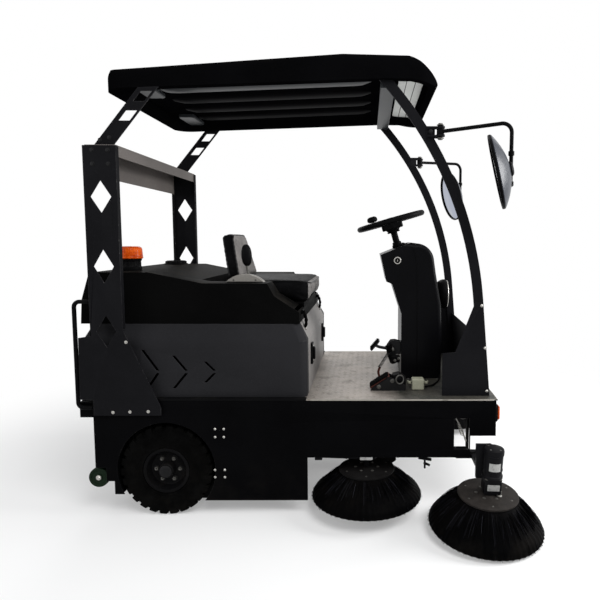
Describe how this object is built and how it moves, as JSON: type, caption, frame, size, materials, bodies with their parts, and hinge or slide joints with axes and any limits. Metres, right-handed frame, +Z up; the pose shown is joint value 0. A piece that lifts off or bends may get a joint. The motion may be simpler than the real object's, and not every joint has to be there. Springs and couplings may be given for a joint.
{
  "type": "ride-on floor sweeping machine",
  "caption": "Three-wheeled ride-on sweeper with a roof canopy, seat, steering console, main roller and splayed disc brushes at the sides.",
  "frame": {"origin": "on the floor, under the middle of the outer box", "axes": "+X forward, +Y to the driver's left, +Z up"},
  "size_m": [2.0023, 1.8104, 2.033],
  "materials": {
    "frame_black": "satin black paint",
    "skirt_black": "satin black powder coat",
    "deck_steel": "worn chequer plate",
    "body_grey": "dark grey textured powder coat",
    "beam_grey": "light grey paint",
    "hood_plastic": "grained black moulding",
    "canopy_plastic": "semi-gloss black moulding",
    "bar_black": "satin black powder coat",
    "seat_vinyl": "black vinyl",
    "beacon_amber": "clear amber",
    "lamp_lens": "clear lens",
    "battery_case": "plain moulding",
    "tyre_rubber": "solid rubber",
    "rim_steel": "black paint",
    "bristle": "black bristle",
    "roller_green": "dark green polyurethane"
  },
  "bodies": {
    "chassis": {"chassis_frame": "frame_black", "deck_plate": "deck_steel", "side_skirt_right": "skirt_black", "side_skirt_left": "skirt_black", "front_fascia": "skirt_black", "tow_plate": "skirt_black", "rear_bumper": "skirt_black", "body_panel_right": "body_grey", "body_panel_left": "body_grey", "body_panel_front": "body_grey", "body_panel_rear": "body_grey", "battery_block": "battery_case", "rear_pillar_right": "body_grey", "rear_pillar_left": "body_grey", "cross_beam": "beam_grey", "strut_right": "bar_black", "strut_left": "bar_black", "canopy": "canopy_plastic", "canopy_bar": "bar_black", "front_pillar_right": "body_grey", "front_pillar_left": "body_grey", "front_panel": "body_grey", "grab_rails": "bar_black", "steering_console": "hood_plastic", "steering_column": "bar_black", "headlight": "lamp_lens", "pedals": "bar_black", "rear_stub_axles": "frame_black"},
    "hood": {"hood": "hood_plastic", "seat_cushion": "seat_vinyl", "seat_back": "seat_vinyl", "brush_lever": "hood_plastic", "beacon_base": "hood_plastic", "beacon_lens": "beacon_amber"},
    "steering_wheel": {"steering_wheel": "hood_plastic"},
    "front_fork": {"front_fork": "frame_black"},
    "front_wheel": {"front_wheel_tyre": "tyre_rubber", "front_wheel_rim": "rim_steel"},
    "rear_wheel_right": {"rear_wheel_right_tyre": "tyre_rubber", "rear_wheel_right_rim": "rim_steel"},
    "rear_wheel_left": {"rear_wheel_left_tyre": "tyre_rubber", "rear_wheel_left_rim": "rim_steel"},
    "main_roller": {"main_roller": "bristle"},
    "dust_hopper": {"dust_hopper": "skirt_black"},
    "hopper_roller_right": {"hopper_roller_right": "roller_green"},
    "hopper_roller_left": {"hopper_roller_left": "roller_green"},
    "middle_arm_right": {"middle_arm_right": "frame_black"},
    "middle_arm_left": {"middle_arm_left": "frame_black"},
    "middle_brush_right": {"middle_brush_right": "bristle"},
    "middle_brush_left": {"middle_brush_left": "bristle"},
    "front_arm_right": {"front_arm_right": "frame_black"},
    "front_arm_left": {"front_arm_left": "frame_black"},
    "front_brush_right": {"front_brush_right": "bristle"},
    "front_brush_left": {"front_brush_left": "bristle"},
    "mirror_right": {"mirror_arm_right": "bar_black", "mirror_head_right": "hood_plastic"},
    "mirror_left": {"mirror_arm_left": "bar_black", "mirror_head_left": "hood_plastic"}
  },
  "joints": [
    {"name": "hood_hinge", "type": "hinge", "parent": "chassis", "child": "hood", "pos_m": [-0.99, 0, 0.85], "axis": [0, -1, 0], "range_deg": [0, 40]},
    {"name": "fork_steer", "type": "hinge", "parent": "chassis", "child": "front_fork", "pos_m": [0.27, 0, 0.43], "axis": [0, 0, 1], "range_deg": [-45, 45]},
    {"name": "steering_wheel_turn", "type": "hinge", "parent": "chassis", "child": "steering_wheel", "pos_m": [0.366, 0, 1.308], "axis": [-0.2756, 0, 0.9613], "range_deg": [-180, 180]},
    {"name": "front_wheel_spin", "type": "hinge", "parent": "front_fork", "child": "front_wheel", "pos_m": [0.27, 0, 0.2], "axis": [0, 1, 0], "continuous": true},
    {"name": "rear_wheel_right_spin", "type": "hinge", "parent": "chassis", "child": "rear_wheel_right", "pos_m": [-0.635, -0.47, 0.2], "axis": [0, 1, 0], "continuous": true},
    {"name": "rear_wheel_left_spin", "type": "hinge", "parent": "chassis", "child": "rear_wheel_left", "pos_m": [-0.635, 0.47, 0.2], "axis": [0, 1, 0], "continuous": true},
    {"name": "main_roller_spin", "type": "hinge", "parent": "chassis", "child": "main_roller", "pos_m": [-0.27, 0, 0.156], "axis": [0, 1, 0], "continuous": true},
    {"name": "hopper_slide", "type": "slide", "parent": "chassis", "child": "dust_hopper", "axis": [-1, 0, 0], "range_m": [0, 0.4]},
    {"name": "hopper_roller_right_spin", "type": "hinge", "parent": "dust_hopper", "child": "hopper_roller_right", "pos_m": [-0.939, -0.487, 0.163], "axis": [0, 1, 0], "continuous": true},
    {"name": "hopper_roller_left_spin", "type": "hinge", "parent": "dust_hopper", "child": "hopper_roller_left", "pos_m": [-0.939, 0.487, 0.163], "axis": [0, 1, 0], "continuous": true},
    {"name": "middle_arm_right_lift", "type": "slide", "parent": "chassis", "child": "middle_arm_right", "axis": [0, 0, 1], "range_m": [-0.06, 0.02]},
    {"name": "middle_brush_right_spin", "type": "hinge", "parent": "middle_arm_right", "child": "middle_brush_right", "pos_m": [0.245, -0.455, 0.064], "axis": [0, 0, 1], "continuous": true},
    {"name": "middle_arm_left_lift", "type": "slide", "parent": "chassis", "child": "middle_arm_left", "axis": [0, 0, 1], "range_m": [-0.06, 0.02]},
    {"name": "middle_brush_left_spin", "type": "hinge", "parent": "middle_arm_left", "child": "middle_brush_left", "pos_m": [0.245, 0.455, 0.064], "axis": [0, 0, 1], "continuous": true},
    {"name": "front_arm_right_lift", "type": "hinge", "parent": "chassis", "child": "front_arm_right", "pos_m": [0.665, -0.42, 0.26], "axis": [-1, 0, 0], "range_deg": [0, 10]},
    {"name": "front_brush_right_spin", "type": "hinge", "parent": "front_arm_right", "child": "front_brush_right", "pos_m": [0.74, -0.66, 0.03044], "axis": [0.0452, -0.0749, 0.9962], "continuous": true},
    {"name": "front_arm_left_lift", "type": "hinge", "parent": "chassis", "child": "front_arm_left", "pos_m": [0.665, 0.42, 0.26], "axis": [1, 0, 0], "range_deg": [0, 10]},
    {"name": "front_brush_left_spin", "type": "hinge", "parent": "front_arm_left", "child": "front_brush_left", "pos_m": [0.74, 0.66, 0.03044], "axis": [0.0452, 0.0749, 0.9962], "continuous": true},
    {"name": "mirror_right_swivel", "type": "hinge", "parent": "chassis", "child": "mirror_right", "pos_m": [0.556, -0.465, 1.672], "axis": [0, 0, 1], "range_deg": [-50, 30]},
    {"name": "mirror_left_swivel", "type": "hinge", "parent": "chassis", "child": "mirror_left", "pos_m": [0.556, 0.465, 1.672], "axis": [0, 0, 1], "range_deg": [-30, 50]}
  ],
  "couplings": [
    {"joint": "steering_wheel_turn", "follows": "fork_steer", "ratio": 4}
  ]
}
